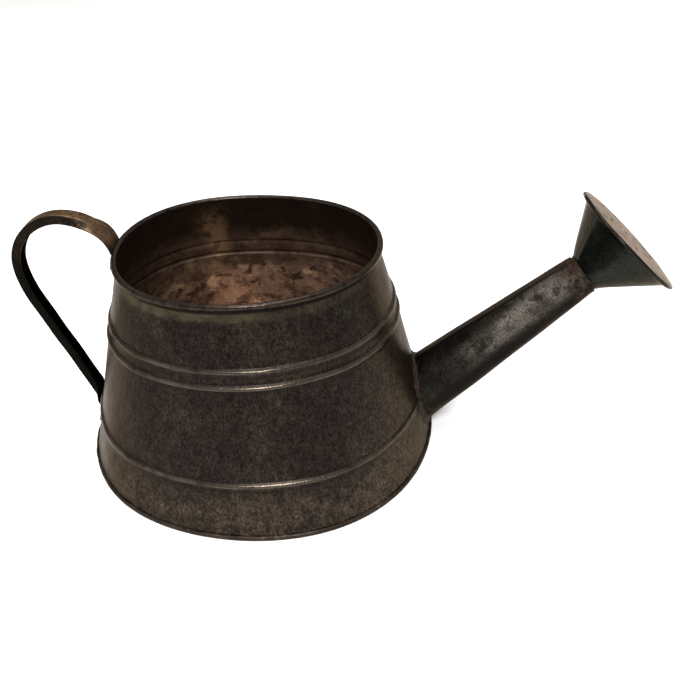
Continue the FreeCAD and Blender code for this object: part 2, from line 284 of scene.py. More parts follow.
def make_body_wall(outside, inside):
    """Tapered wall with its beads, lap seam and the edge rolled over the wire."""
    tangent = RIM_HEIGHT - CURL_BORE * math.sin(math.radians(LEAN))
    heights = wall_heights(WALL_FOOT, tangent)
    outer = wall_side(heights, 0.0)
    inner = wall_side(heights, -SHEET)[::-1]
    wire = (RIM_RADIUS, RIM_HEIGHT)
    start, end = 180.0 + LEAN, 180.0 + LEAN - CURL_TURN
    bore = polar(wire, CURL_BORE, start, end, 26)[1:]
    skin = polar(wire, CURL_BORE + SHEET, end, start, 30)[:-1]
    profile = np.concatenate([outer, bore, skin, inner])
    is_outer = (np.arange(len(profile)) < len(outer))[:, None]
    obj = lathe("body_wall_sheet", profile, WALL_COUNT,
                swell=lambda theta, z: lap_swell(theta, z) * is_outer)
    first_inner = len(outer) + len(bore) + len(skin) - 1
    row = np.repeat(np.arange(len(profile)), WALL_COUNT)
    obj.data.materials.append(outside)
    obj.data.materials.append(inside)
    faces_inside = (row >= first_inner) & (row < len(profile) - 1)
    obj.data.polygons.foreach_set("material_index", faces_inside.astype(int))
    return cut_with(obj, spout_drill())


def make_rim_wire():
    """The wire, hidden inside the rolled edge."""
    return lathe("rim_wire_ring", polar((RIM_RADIUS, RIM_HEIGHT), WIRE_RADIUS, 0.0, 337.5, 16), WIRE_COUNT)


def crimp(theta, z):
    """The pan's hand-crimped edge isn't quite even."""
    edge = smooth(0.2, 2.0, z)
    return edge * (0.10 * np.sin(37 * theta + 0.6) + 0.09 * np.sin(61 * theta)
                   + 0.12 * np.sin(11 * theta + 2.0))


def rounded(points, radii):
    """A closed polygon with its corners rounded."""
    points = [np.array(point, float) for point in points]
    out = []
    for i, point in enumerate(points):
        before = points[i - 1] - point
        after = points[(i + 1) % len(points)] - point
        a = point + before / np.linalg.norm(before) * radii[i]
        b = point + after / np.linalg.norm(after) * radii[i]
        for t in np.linspace(0.0, 1.0, 5):
            out.append((1 - t) ** 2 * a + 2 * t * (1 - t) * point + t * t * b)
    return out


def make_base_pan():
    """Flat disc with its edge turned up and crimped in over the wall's foot."""
    outer = wall_radius(HEM_HEIGHT) + HEM_REACH + PAN_SHEET
    under = HEM_HEIGHT - PAN_SHEET
    step = outer - PAN_SHEET
    corners = [(outer, 0.0), (outer, HEM_HEIGHT), (wall_radius(HEM_HEIGHT) + GAP, HEM_HEIGHT),
               (wall_radius(under) + GAP, under), (step, under), (step, PAN_SHEET)]
    edge = rounded(corners, (0.9, 1.2, 0.2, 0.05, 0.25, 0.3))
    below = [(r, 0.0) for r in np.linspace(6.0, outer - 3.0, 20)]
    above = [(r, PAN_SHEET) for r in np.linspace(step - 3.0, 6.0, 20)]
    profile = np.array(below + edge + above)
    obj = lathe("base_pan_sheet", profile, PAN_COUNT, swell=crimp)
    plug_holes(open_loop(obj, len(profile), PAN_COUNT))
    for face in obj.data.polygons:
        face.material_index = int(face.normal.z > 0.5 and face.center.z < 1.2 * PAN_SHEET * MM)
    return obj


def open_loop(obj, rows, count):
    """Drop the faces that join a lathe's last row to its first, leaving two round holes."""
    bm = bmesh.new()
    bm.from_mesh(obj.data)
    bm.faces.ensure_lookup_table()
    bmesh.ops.delete(bm, geom=bm.faces[(rows - 1) * count:rows * count], context="FACES_ONLY")
    bm.to_mesh(obj.data)
    bm.free()
    return obj


def plug_holes(obj):
    """Close every open edge loop with one face."""
    bm = bmesh.new()
    bm.from_mesh(obj.data)
    bmesh.ops.holes_fill(bm, edges=[e for e in bm.edges if e.is_boundary], sides=0)
    bmesh.ops.recalc_face_normals(bm, faces=bm.faces)
    bm.to_mesh(obj.data)
    bm.free()
    return obj


def seal_lumps(theta, z):
    """Unevenness of the solder fillet, above its toe."""
    low, high = z > PAN_SHEET + 0.1, z > 1.2
    return 0.12 * np.sin(47 * theta) * low + 0.1 * np.sin(83 * theta + 1.0) * high


def make_base_solder():
    """Fillet of solder in the corner between the wall's foot and the pan."""
    inset = (SHEET + GAP) / math.cos(math.radians(LEAN))
    corner = np.array([wall_radius(PAN_SHEET) - inset, PAN_SHEET])
    top = corner + ALONG * SEAL_HEIGHT
    toe = corner - np.array([SEAL_WIDTH, 0.0])
    sag = np.array([0.35, -0.25])
    curve = [top + (toe - top) * t + sag * math.sin(math.pi * t) for t in np.linspace(0.0, 1.0, 7)]
    return lathe("base_solder_fillet", np.array([corner] + curve), PAN_COUNT, swell=seal_lumps)


# ---- the spout --------------------------------------------------------------------------
SPOUT_ROOT = np.array([wall_radius(SPOUT_ROOT_HEIGHT), 0.0, SPOUT_ROOT_HEIGHT])
SPOUT_AXIS = np.array([math.cos(SPOUT_TURN), 0.0, math.sin(SPOUT_TURN)])
SPOUT_DOWN = np.array([math.sin(SPOUT_TURN), 0.0, -math.cos(SPOUT_TURN)])
ACROSS = np.array([0.0, 1.0, 0.0])


def around(centre, down, angle, radius):
    """Points on circles square to an axis: angle 0 is the underside, 90 degrees the far side."""
    angle = np.asarray(angle, float)[..., None]
    radius = np.asarray(radius, float)[..., None]
    return centre + radius * (np.cos(angle) * down + np.sin(angle) * ACROSS)


def spout_radius(along):
    return SPOUT_ROOT_RADIUS + (SPOUT_TIP_RADIUS - SPOUT_ROOT_RADIUS) * along / SPOUT_LENGTH


def spout_place(angle, along, offset):
    """A point of the spout's cone, grown by offset."""
    centre = SPOUT_ROOT + np.asarray(along, float)[..., None] * SPOUT_AXIS
    return around(centre, SPOUT_DOWN, angle, spout_radius(along) + offset)


def spout_meets_wall(angle, offset):
    """Distance along the axis where each line of the grown cone comes out of the wall."""
    low = np.full(np.shape(angle), -30.0)
    high = np.full(np.shape(angle), 45.0)
    for _ in range(30):
        middle = (low + high) / 2
        point = spout_place(angle, middle, offset)
        outside = wall_distance(point[..., 0], point[..., 1], point[..., 2]) > 0.0
        low = np.where(outside, low, middle)
        high = np.where(outside, middle, high)
    return (low + high) / 2


def spout_drill():
    """The spout's bore as a solid cone, from inside the wall outwards."""
    count = 96
    rows = [spout_place(full_turn(count), np.full(count, along), -SHEET)
            for along in (-SPOUT_REACH, 1.6 * SPOUT_REACH)]
    return plug_holes(new_object("spout_drill", np.concatenate(rows), grid_faces(2, count)))


def spout_lap(angle):
    """1 where the spout's sheet lies over itself at the seam."""
    start, end = SPOUT_LAP
    soft = 0.004
    return smooth(start - soft, start + soft, angle) * (1.0 - smooth(end - soft, end + soft, angle))


def spout_dents(angle, along):
    """Slow unevenness of the rolled cone, mm."""
    return (0.22 * np.sin(2 * angle + 0.9 + along * 0.02) + 0.12 * np.sin(3 * angle - along * 0.05)
            + 0.09 * np.sin(5 * angle + 1.0 + along * 0.09)
            + 0.08 * np.sin(4 * angle + 2.0 - along * 0.13))


def make_spout_tube():
    """Rolled cone with its lap seam, flared a little where it lies against the wall."""
    edge = SPOUT_LAP[1]
    angle = np.sort(np.append(full_turn(ROUND_COUNT), [edge - 0.006, edge + 0.006]))
    root = spout_meets_wall(angle, 0.0)
    shares = np.concatenate([np.linspace(0.0, 0.03, 6), np.linspace(0.045, 0.97, 60),
                             np.linspace(0.978, 1.0, 6)])
    outer, inner = [], []
    for share in shares:
        along = root + (SPOUT_LENGTH - root) * share
        from_root, to_tip = along - root, SPOUT_LENGTH - along
        settle = smooth(0.0, 12.0, from_root) * smooth(0.0, 14.0, to_tip)
        seam = SHEET * 0.9 * spout_lap(angle) * smooth(0.8, 1.6, to_tip)
        flare = 0.9 * (1.0 - smooth(0.0, 2.4, from_root))
        lip = 0.28 * (1.0 - smooth(0.6, 2.2, to_tip)) * (1.0 + 0.5 * np.sin(3 * angle + 1.1))
        swell = spout_dents(angle, along) * settle + flare + lip
        outer.append(spout_place(angle, along, swell + seam))
        inner.append(spout_place(angle, along, swell - SHEET))
    return ring_mesh("spout_tube_sheet", outer + inner[::-1])


def make_spout_solder():
    """Uneven collar of solder between the wall and the spout's root."""
    angle = full_turn(ROUND_COUNT)
    uneven = (1.0 + 0.16 * np.sin(5 * angle + 1.0) + 0.12 * np.sin(11 * angle)
              + 0.10 * np.sin(23 * angle + 2.0))
    section = ((0.2, 2.6), (0.95, 1.7), (1.4, 1.0), (1.9, 0.7), (2.5, 0.45), (3.1, 0.0),
               (3.1, -0.5), (0.2, -0.5))
    rows = []
    for reach, lift in section:
        offset = reach * uneven if reach > 0.5 else np.full(ROUND_COUNT, reach)
        base = spout_meets_wall(angle, offset)
        rows.append(spout_place(angle, base + lift * (uneven if lift > 0 else 1.0), offset))
    return ring_mesh("spout_solder_collar", rows)


# ---- the rose ---------------------------------------------------------------------------
ROSE_AXIS = np.array([math.cos(ROSE_TURN), 0.0, math.sin(ROSE_TURN)])
ROSE_DOWN = np.array([math.sin(ROSE_TURN), 0.0, -math.cos(ROSE_TURN)])
THROAT = SPOUT_ROOT + SPOUT_AXIS * (SPOUT_LENGTH + ROSE_START)
ROSE_CENTRE = THROAT + ROSE_DOWN * ROSE_OFFSET + ROSE_AXIS * ROSE_LENGTH
ROSE_SEAT = ROSE_RADIUS - 2 * ROSE_ROLL      # where the face's flat part ends and its roll begins
NECK_RADIUS = SPOUT_TIP_RADIUS - SHEET - NECK_CLEARANCE


def neck_ring(along, radius):
    """A circle about the spout's axis, this far from the spout's root."""
    radius = radius + np.zeros(NECK_COUNT)
    return around(SPOUT_ROOT + SPOUT_AXIS * along, SPOUT_DOWN, full_turn(NECK_COUNT), radius)


def make_rose_neck():
    """Plain tube, its end inside the spout drawn in a little."""
    start, end = SPOUT_LENGTH - NECK_INSIDE, SPOUT_LENGTH + NECK_OUTSIDE
    stations = [start, start + 0.8] + list(np.linspace(start + 3.0, end, 12))
    outer = [neck_ring(along, NECK_RADIUS) for along in stations]
    outer[0] = neck_ring(start, NECK_RADIUS - 0.12)
    inner = [neck_ring(along, NECK_RADIUS - SHEET) for along in stations]
    return ring_mesh("rose_neck_sheet", outer + inner[::-1])


def cone_ring(share, angle, offset):
    """One ring of the rose's cone: fuller on its upper side, nearly straight below."""
    upper = 0.5 - 0.5 * np.cos(angle)
    bend = 1.08 - 0.18 * upper
    throat = NECK_RADIUS + GAP + SHEET
    edge = ROSE_SEAT - 0.1
    radius = throat + (edge - throat) * share ** bend + offset
    swell = 0.25 * np.sin(4 * angle + 0.8) + 0.18 * np.sin(7 * angle + 2.0) + 0.1 * np.sin(13 * angle)
    radius = radius + swell * math.sin(math.pi * share)
    centre = THROAT + (ROSE_CENTRE - THROAT) * share
    down = SPOUT_DOWN + (ROSE_DOWN - SPOUT_DOWN) * share
    return around(centre, down / np.linalg.norm(down), angle, radius)


def make_rose_cone():
    """Flared sheet cone with its lap seam on the upper near side."""
    angle = full_turn(ROUND_COUNT)
    shares = np.linspace(0.0, 1.0, 36)
    rows = [cone_ring(share, angle, 0.0) for share in shares]
    rows += [cone_ring(share, angle, -SHEET) for share in shares[::-1]]
    seam = np.radians(205.0)
    for i, share in enumerate(shares):
        lap = np.exp(-((angle - seam) / 0.075) ** 4) * SHEET * 0.8 * math.sin(math.pi * share) ** 0.4
        centre = THROAT + (ROSE_CENTRE - THROAT) * share
        out = rows[i] - centre
        rows[i] = rows[i] + out / np.linalg.norm(out, axis=1)[:, None] * lap[:, None]
    return ring_mesh("rose_cone_sheet", rows)


def rose_place(angle, radius, height):
    """A point in front of the rose's rim plane."""
    centre = ROSE_CENTRE + np.asarray(height, float)[..., None] * ROSE_AXIS
    return around(centre, ROSE_DOWN, angle, radius)


def dome(radius):
    """Height of the domed face above the rim plane."""
    share = np.clip(radius / ROSE_SEAT, 0.0, 1.0)
    return DOME_HEIGHT * (1.0 - share ** 2.1)


def make_rose_face(front, edge):
    """Domed, drilled disc with its edge rolled back over the cone."""
    angle = full_turn(ROUND_COUNT)
    wobble = 0.3 * np.sin(3 * angle + 0.5) + 0.16 * np.sin(8 * angle + 1.0) + 0.1 * np.sin(17 * angle)
    roll_centre = (ROSE_SEAT + ROSE_ROLL, -0.75)
    top = [(r, dome(r) + SHEET) for r in np.linspace(1.0, ROSE_SEAT - 1.5, 26)]
    roll = list(polar(roll_centre, 1.25, 110.0, -80.0, 16))
    roll += list(polar(roll_centre, 0.65, -80.0, 110.0, 12))
    bottom = [(r, dome(r) + 0.02) for r in np.linspace(ROSE_SEAT - 1.5, 1.0, 26)]
    rows = []
    for radius, height in top + roll + bottom:
        outer = smooth(0.5 * ROSE_SEAT, ROSE_SEAT, radius)
        sag = 0.18 * np.sin(2 * angle + radius * 0.12) + 0.12 * np.sin(5 * angle - radius * 0.2)
        rows.append(rose_place(angle, radius + wobble * outer, height + sag * smooth(2.0, 12.0, radius)))
    obj = ring_mesh("rose_face_sheet", rows)
    obj.data.materials.append(front)
    obj.data.materials.append(edge)
    row = np.repeat(np.arange(len(rows)), ROUND_COUNT)
    rolled = (row >= len(top)) & (row < len(top) + len(roll))
    obj.data.polygons.foreach_set("material_index", rolled.astype(int))
    plug_holes(open_loop(obj, len(rows), ROUND_COUNT))
    return darken_holes(cut_with(obj, rose_drills()))


def darken_holes(obj):
    """Give the walls of the drilled holes the face's second material, the dark cone finish, as painted
    shade inside the holes.
    """
    for face in obj.data.polygons:
        drilled = abs(face.normal.dot(Vector(ROSE_AXIS))) < 0.6
        if drilled and (face.center - Vector(ROSE_CENTRE) * MM).length < (ROSE_SEAT - 3.0) * MM:
            face.material_index = 1
    return obj


def rose_drills():
    """All the drills as one object, tapered so that the holes' walls show."""
    bm = bmesh.new()
    out = Vector(ROSE_AXIS)
    back, front = [share * HOLE_RADIUS * MM for share in DRILL_ENDS]
    for ring, number, first in HOLE_RINGS:
        for index in range(number):
            turn = math.radians(first + 360.0 * index / number)
            spot = rose_place(turn, ring, dome(ring)) * MM
            place = Matrix.Translation(Vector(spot)) @ out.to_track_quat("Z", "Y").to_matrix().to_4x4()
            bmesh.ops.create_cone(bm, cap_ends=True, segments=20, radius1=back, radius2=front,
                                  depth=DRILL_LENGTH * MM, matrix=place)
    mesh = bpy.data.meshes.new("drills")
    bm.to_mesh(mesh)
    bm.free()
    obj = bpy.data.objects.new("drills", mesh)
    bpy.context.scene.collection.objects.link(obj)
    return obj


def make_rose_solder():
    """Ring of solder in the step behind the cone's throat."""
    angle = full_turn(NECK_COUNT)
    lumps = 0.10 * np.sin(9 * angle) + 0.08 * np.sin(17 * angle + 1.0)
    start = SPOUT_LENGTH + ROSE_START - THROAT_SOLDER
    section = ((0.0, 0.0), (0.22, 0.0), (0.5, 0.3), (0.62, 0.8), (0.0, 0.8))
    rows = [neck_ring(start + along, NECK_RADIUS + GAP + rise + lumps * (rise > 0.3))
            for rise, along in section]
    return ring_mesh("rose_solder_ring", rows)


# ---- the handle -------------------------------------------------------------------------
def heading(degrees):
    """Unit step in the (x, z) plane."""
    return np.array([math.cos(math.radians(degrees)), math.sin(math.radians(degrees))])


def handle_route():
    """Stations of the strap's outer surface: (x, z, heading, distance), from its tail to its foot."""
    rim = np.array([-RIM_RADIUS, RIM_HEIGHT])
    wall_up, wall_down, wall_out = 90.0 - LEAN, 270.0 - LEAN, 180.0 - LEAN
    roll = CURL_BORE + SHEET + GAP
    turn = STRAP_LEAVE - wall_up
    cosine = math.cos(math.radians(turn))
    bend = (roll * cosine - CURL_BORE - GAP) / (1.0 - cosine)
    leave = rim + heading(STRAP_LEAVE + 90.0) * roll
    top = leave + heading(STRAP_LEAVE + 90.0) * bend - heading(wall_up + 90.0) * bend
    point = top - heading(wall_up) * STRAP_TAIL
    run_heading = STRAP_LEAVE + sum(turn for radius, turn in STRAP_ARCS)
    steps = [(STRAP_TAIL, 0.0), (bend, turn)] + list(STRAP_ARCS)
    direction = wall_up
    end = walk(point, direction, steps)[-1][:2]
    foot_bend = (FOOT_BEND, wall_down - run_heading)
    foot = walk(end, run_heading, [foot_bend])[-1][:2]
    found = (foot - np.array([-wall_radius(0.0), 0.0])).dot(heading(wall_out))
    run = (STRAP + GAP - found) / heading(run_heading).dot(heading(wall_out))
    return walk(point, direction, steps + [(run, 0.0), foot_bend, (FOOT_LENGTH, 0.0)])


def walk(point, direction, steps):
    """Stations a millimetre or so apart along lines (length, 0) and arcs (radius, turn)."""
    point = np.array(point, float)
    stations = [(point[0], point[1], direction, 0.0)]
    travelled = 0.0
    for size, turn in steps:
        length = size if turn == 0 else size * math.radians(abs(turn))
        count = max(4, int(length / 1.1))
        start, first = point, direction
        side = math.copysign(1.0, turn) if turn else 0.0
        centre = start + heading(first + side * 90.0) * size if turn else None
        for i in range(1, count + 1):
            share = i / count
            direction = first + turn * share
            if turn:
                point = centre - heading(direction + side * 90.0) * size
            else:
                point = start + heading(first) * size * share
            stations.append((point[0], point[1], direction, travelled + length * share))
        travelled += length
    return stations


def strap_section(fold, narrow):
    """Half outline of the strip's outer surface: (depth into the loop, sideways) and its tilt."""
    angle = math.radians(90.0) * fold
    out = [(0.0, side, 0.0) for side in np.linspace(0.0, STRAP_WEB * narrow, 5)]
    depth, side = 0.0, STRAP_WEB * narrow
    steps = 6
    for i in range(1, steps + 1):
        tilt = angle * (i - 0.5) / steps
        depth += math.sin(tilt) * STRAP_CORNER / steps
        side += math.cos(tilt) * STRAP_CORNER / steps
        out.append((depth, side, angle * i / steps))
    for length in np.linspace(0.0, STRAP_EDGE * narrow, 6)[1:]:
        out.append((depth + math.sin(angle) * length, side + math.cos(angle) * length, angle))
    return out


def make_handle_strap():
    """One strip: flat under the rim, folded to a channel for the grip, flat again at the foot."""
    stations = handle_route()
    total = stations[-1][3]
    start = STRAP_TAIL + FOLD_START
    points = []
    for x, z, direction, s in stations:
        left = total - s
        fold = float(smooth(start, start + FOLD_LENGTH, s) * smooth(UNFOLD_END, UNFOLD_START, left))
        narrow = 1.0 - FOOT_NARROWING * float(1.0 - smooth(UNFOLD_END + 1.0, UNFOLD_START, left))
        half = strap_section(fold, narrow)
        inner = [(depth + STRAP * math.cos(tilt), side - STRAP * math.sin(tilt), tilt)
                 for depth, side, tilt in half]
        ring = half + inner[::-1]
        ring = ring + [(depth, -side, tilt) for depth, side, tilt in ring[::-1]]
        normal = heading(direction + 90.0)
        shift = RIM_SHIFT * (1.0 - float(smooth(20.0, 95.0, s)))
        wave = 0.25 * math.sin(s * 0.11 + 0.5) + 0.15 * math.sin(s * 0.23)
        outward = FOOT_OUT * float(1.0 - smooth(12.0, 70.0, left))
        outward += RIM_OUT * (1.0 - float(smooth(20.0, 60.0, s)))
        for depth, side, tilt in ring:
            points.append((x - outward + normal[0] * depth, side + shift + wave * fold,
                           z + normal[1] * depth))
    across = len(points) // len(stations)
    obj = plug_holes(new_object("handle_strap_strip", points, grid_faces(len(stations), across)))
    return finish_mesh(obj, merge=0.001)


def solder_blob(name, height, tall, wide, thick, side, seed):
    """Lumpy patch of solder on the wall, on a very thin film that fills its square outline."""
    rows, columns = 40, 48
    across = np.linspace(-1.0, 1.0, columns)[None, :]
    upward = np.linspace(-1.0, 1.0, rows)[:, None]
    rng = np.random.default_rng(seed)
    wobble = 0.0 * across * upward
    for _ in range(7):
        u, v, phase = rng.uniform(1.5, 7.0), rng.uniform(1.5, 7.0), rng.uniform(0.0, 6.28)
        wobble = wobble + 0.16 * np.sin(u * across * 1.4 + v * upward * 1.4 + phase)
    reach = np.sqrt(np.abs(across) ** 2.3 + np.abs(upward) ** 2.3) * (1.08 + 0.3 * wobble)
    lift = thick * np.clip(1.0 - reach, 0.0, 1.0) ** 0.5 * (1.0 + 0.45 * wobble)
    z = height + upward * tall / 2 + 0.0 * across
    theta = math.pi - (across * wide / 2 + side) / wall_radius(height) + 0.0 * upward
    surface = warp(wall_radius(z) + bead_bulge(z), theta, z)
    front = round_points(surface + np.maximum(lift, 0.02), theta, z)
    back = round_points(surface - 0.12, theta, z)
    faces = grid_faces(rows, columns, close_columns=False)
    below = [tuple(rows * columns + i for i in face[::-1]) for face in faces]
    edge = list(range(columns))
    edge += [(i + 1) * columns - 1 for i in range(1, rows)]
    edge += [(rows - 1) * columns + k for k in range(columns - 2, -1, -1)]
    edge += [i * columns for i in range(rows - 2, 0, -1)]
    walls = [(a, a + rows * columns, b + rows * columns, b) for a, b in zip(edge, edge[1:] + edge[:1])]
    return finish_mesh(new_object(name, np.concatenate([front, back]), faces + below + walls))


# ---- materials --------------------------------------------------------------------------
def tone(red, green, blue):
    """A display colour, 0 to 255, as linear light."""
    values = [value / 255.0 for value in (red, green, blue)]
    linear = [v / 12.92 if v <= 0.04045 else ((v + 0.055) / 1.055) ** 2.4 for v in values]
    return (*linear, 1.0)


class Finish:
    """A procedural material being put together; values are sockets or numbers."""

    def __init__(self, name, colour, metallic, roughness):
        self.material = bpy.data.materials.new(name)
        self.material.use_nodes = True
        self.tree = self.material.node_tree
        self.shader = self.tree.nodes["Principled BSDF"]
        self.shader.inputs["Base Color"].default_value = colour
        self.shader.inputs["Metallic"].default_value = metallic
        self.shader.inputs["Roughness"].default_value = roughness
        self.shader.inputs["Specular Tint"].default_value = (0.55, 0.5, 0.45, 1.0)
        plain = self.tree.nodes.new("ShaderNodeRGB")
        plain.outputs[0].default_value = colour
        self.colour = plain.outputs[0]
        self.place = self.tree.nodes.new("ShaderNodeTexCoord").outputs["Object"]

    def put(self, socket, value):
        """Link or set a node's input."""
        if isinstance(value, bpy.types.NodeSocket):
            self.tree.links.new(value, socket)
        else:
            socket.default_value = value

    def math(self, operation, *values):
        node = self.tree.nodes.new("ShaderNodeMath")
        node.operation = operation
        for socket, value in zip(node.inputs, values):
            self.put(socket, value)
        return node.outputs[0]

    def both(self, first, second):
        """1 only where both masks are."""
        return self.math("MULTIPLY", first, second)

    def stretched(self, scale):
        node = self.tree.nodes.new("ShaderNodeMapping")
        self.put(node.inputs["Vector"], self.place)
        node.inputs["Scale"].default_value = scale
        return node.outputs[0]

    def noise(self, size, detail=5.0, rough=0.55, scale=(1.0, 1.0, 1.0), distortion=0.0):
        """Noise whose grains are about size millimetres across."""
        node = self.tree.nodes.new("ShaderNodeTexNoise")
        self.put(node.inputs["Vector"], self.stretched(scale))
        node.inputs["Scale"].default_value = 1.0 / (size * MM)
        node.inputs["Detail"].default_value = detail
        node.inputs["Roughness"].default_value = rough
        node.inputs["Distortion"].default_value = distortion
        return node.outputs[0]

    def cells(self, size):
        """A value that differs from one crystal of the plating to the next."""
        node = self.tree.nodes.new("ShaderNodeTexVoronoi")
        self.put(node.inputs["Vector"], self.place)
        node.inputs["Scale"].default_value = 1.0 / (size * MM)
        grey = self.tree.nodes.new("ShaderNodeSeparateColor")
        self.put(grey.inputs[0], node.outputs["Color"])
        return grey.outputs[0]

    def between(self, value, low, high):
        """0 where value is at low, 1 where it is at high, eased."""
        node = self.tree.nodes.new("ShaderNodeMapRange")
        node.interpolation_type = "SMOOTHSTEP"
        self.put(node.inputs["Value"], value)
        node.inputs["From Min"].default_value = low
        node.inputs["From Max"].default_value = high
        return node.outputs[0]

    def window(self, value, centre, half, soft):
        """1 within half of centre, fading over soft."""
        away = self.math("ABSOLUTE", self.math("SUBTRACT", value, centre))
        return self.between(away, half + soft, half)

    def part(self, vector, letter):
        """One coordinate of a vector."""
        node = self.tree.nodes.new("ShaderNodeSeparateXYZ")
        self.put(node.inputs[0], vector)
        return node.outputs[letter]

    def axis(self, letter):
        return self.part(self.place, letter)

    def sideways(self):
        """1 where the surface faces the can's left or right, 0 where it faces along the handle."""
        facing = self.tree.nodes.new("ShaderNodeNewGeometry").outputs["True Normal"]
        return self.between(self.math("ABSOLUTE", self.part(facing, "Y")), 0.35, 0.75)

    def along(self, origin, direction):
        """Distance from origin along a direction, in metres."""
        node = self.tree.nodes.new("ShaderNodeVectorMath")
        node.operation = "DOT_PRODUCT"
        self.put(node.inputs[0], self.place)
        node.inputs[1].default_value = tuple(direction)
        offset = float(np.dot(np.asarray(origin, float) * MM, direction))
        return self.math("SUBTRACT", node.outputs["Value"], offset)

    def paint(self, mask, colour, strength):
        """Lay a colour over what is there, where mask is 1."""
        node = self.tree.nodes.new("ShaderNodeMix")
        node.data_type = "RGBA"
        self.put(node.inputs[0], self.math("MULTIPLY", mask, strength))
        self.put(node.inputs[6], self.colour)
        self.put(node.inputs[7], colour)
        self.colour = node.outputs[2]

    def ramp(self, value, low, high, colour, strength):
        """Lay a colour over what is there, from nothing at low to full strength at high."""
        self.paint(self.between(value, low, high), colour, strength)

    def shade(self, value, low, high):
        """Multiply the colour by low where value is 0 and by high where it is 1."""
        node = self.tree.nodes.new("ShaderNodeVectorMath")
        node.operation = "SCALE"
        self.put(node.inputs[0], self.colour)
        self.put(node.inputs["Scale"], self.spread(value, low, high))
        self.colour = node.outputs[0]

    def rough(self, value, low, high):
        self.put(self.shader.inputs["Roughness"], self.spread(value, low, high))

    def spread(self, value, low, high):
        """Low where value is 0, high where it is 1."""
        node = self.tree.nodes.new("ShaderNodeMapRange")
        self.put(node.inputs["Value"], value)
        node.inputs["To Min"].default_value = low
        node.inputs["To Max"].default_value = high
        return node.outputs[0]

    def bump(self, *layers):
        """Layers are (height socket, depth in mm)."""
        normal = None
        for height, depth in layers:
            node = self.tree.nodes.new("ShaderNodeBump")
            self.put(node.inputs["Height"], height)
            node.inputs["Distance"].default_value = depth * MM
            if normal is not None:
                self.put(node.inputs["Normal"], normal)
            normal = node.outputs[0]
        self.put(self.shader.inputs["Normal"], normal)

    def done(self):
        self.put(self.shader.inputs["Base Color"], self.colour)
        return self.material


def body_finish():
    """Aged sheet: brown-black, finely speckled, olive and brown clouds, bead crests partly rubbed and
    partly painted highlight, painted shade under the beads and the rim roll, painted light down the right
    side.
    """
    f = Finish("body_outside", tone(29, 23, 21), 0.85, 0.5)
    clouds = f.noise(30.0, 6.0, 0.6, (1.0, 1.0, 0.7))
    streaks = f.noise(2.4, 6.0, 0.7, (1.0, 1.0, 0.10))
    grain = f.noise(1.2, 3.0, 0.8, (1.0, 1.0, 0.6))
    mottle = f.noise(5.0, 5.0, 0.7)
    f.ramp(clouds, 0.46, 0.66, tone(42, 36, 29), 0.8)
    f.ramp(f.noise(17.0, 5.0, 0.6), 0.54, 0.7, tone(38, 36, 27), 0.6)
    f.ramp(f.noise(23.0, 5.0, 0.65, distortion=0.6), 0.56, 0.72, tone(19, 15, 14), 0.7)
    height = f.axis("Z")
    rim = RIM_HEIGHT * MM
    level = f.math("ADD", height, f.spread(f.noise(7.0), -0.002, 0.002))
    low = f.between(level, 0.033, 0.018)
    f.paint(f.both(low, f.between(f.noise(9.0, 5.0, 0.65), 0.30, 0.66)), tone(62, 53, 43), 0.7)
    f.shade(f.between(streaks, 0.25, 0.75), 0.74, 1.26)
    # painted light: the body is painted lighter and browner towards its right side, by the spout
    f.ramp(f.axis("X"), 0.055, 0.100, tone(56, 48, 38), 0.65)
    f.shade(f.between(mottle, 0.32, 0.68), 0.68, 1.32)
    f.shade(f.between(grain, 0.34, 0.66), 0.32, 1.68)
    green = f.both(f.window(level, rim - 0.0058, 0.0012, 0.0030),
                   f.between(f.noise(14.0, 5.0, 0.65), 0.30, 0.62))
    green = f.both(green, f.spread(f.between(f.axis("X"), -0.030, 0.065), 1.0, 0.35))
    f.paint(green, tone(76, 72, 54), 0.6)
    roll = f.between(height, rim - 0.0025, rim - 0.0015)
    polish = f.both(roll, 0.9)
    for centre in BEAD_HEIGHTS:
        # bead crests: lighter metal, partly rubbed and partly a painted highlight, set a little above each
        # bead's centre where light catches it
        crest = f.window(height, (centre + 0.7) * MM, 0.0005, 0.0011)
        polish = f.math("ADD", polish, f.both(crest, 0.7))
        f.paint(f.both(crest, f.between(f.noise(14.0), 0.2, 0.6)), tone(92, 84, 74), 0.5)
        # painted shade: a dark line along the underside of each bead
        f.paint(f.window(height, (centre - 2.9) * MM, 0.0003, 0.0013), tone(18, 14, 12), 0.5)
    f.paint(roll, tone(48, 41, 36), 0.85)
    f.paint(f.both(roll, f.between(f.noise(4.0), 0.50, 0.62)), tone(22, 17, 15), 0.7)
    # painted shadow: a dark line just under the rim roll
    f.paint(f.window(height, rim - 0.0032, 0.0006, 0.0007), tone(10, 8, 7), 0.8)
    f.rough(f.math("SUBTRACT", clouds, polish), 0.22, 0.50)
    f.bump((clouds, 0.6), (streaks, 0.06), (mottle, 0.12), (grain, 0.06))
    return f.done()


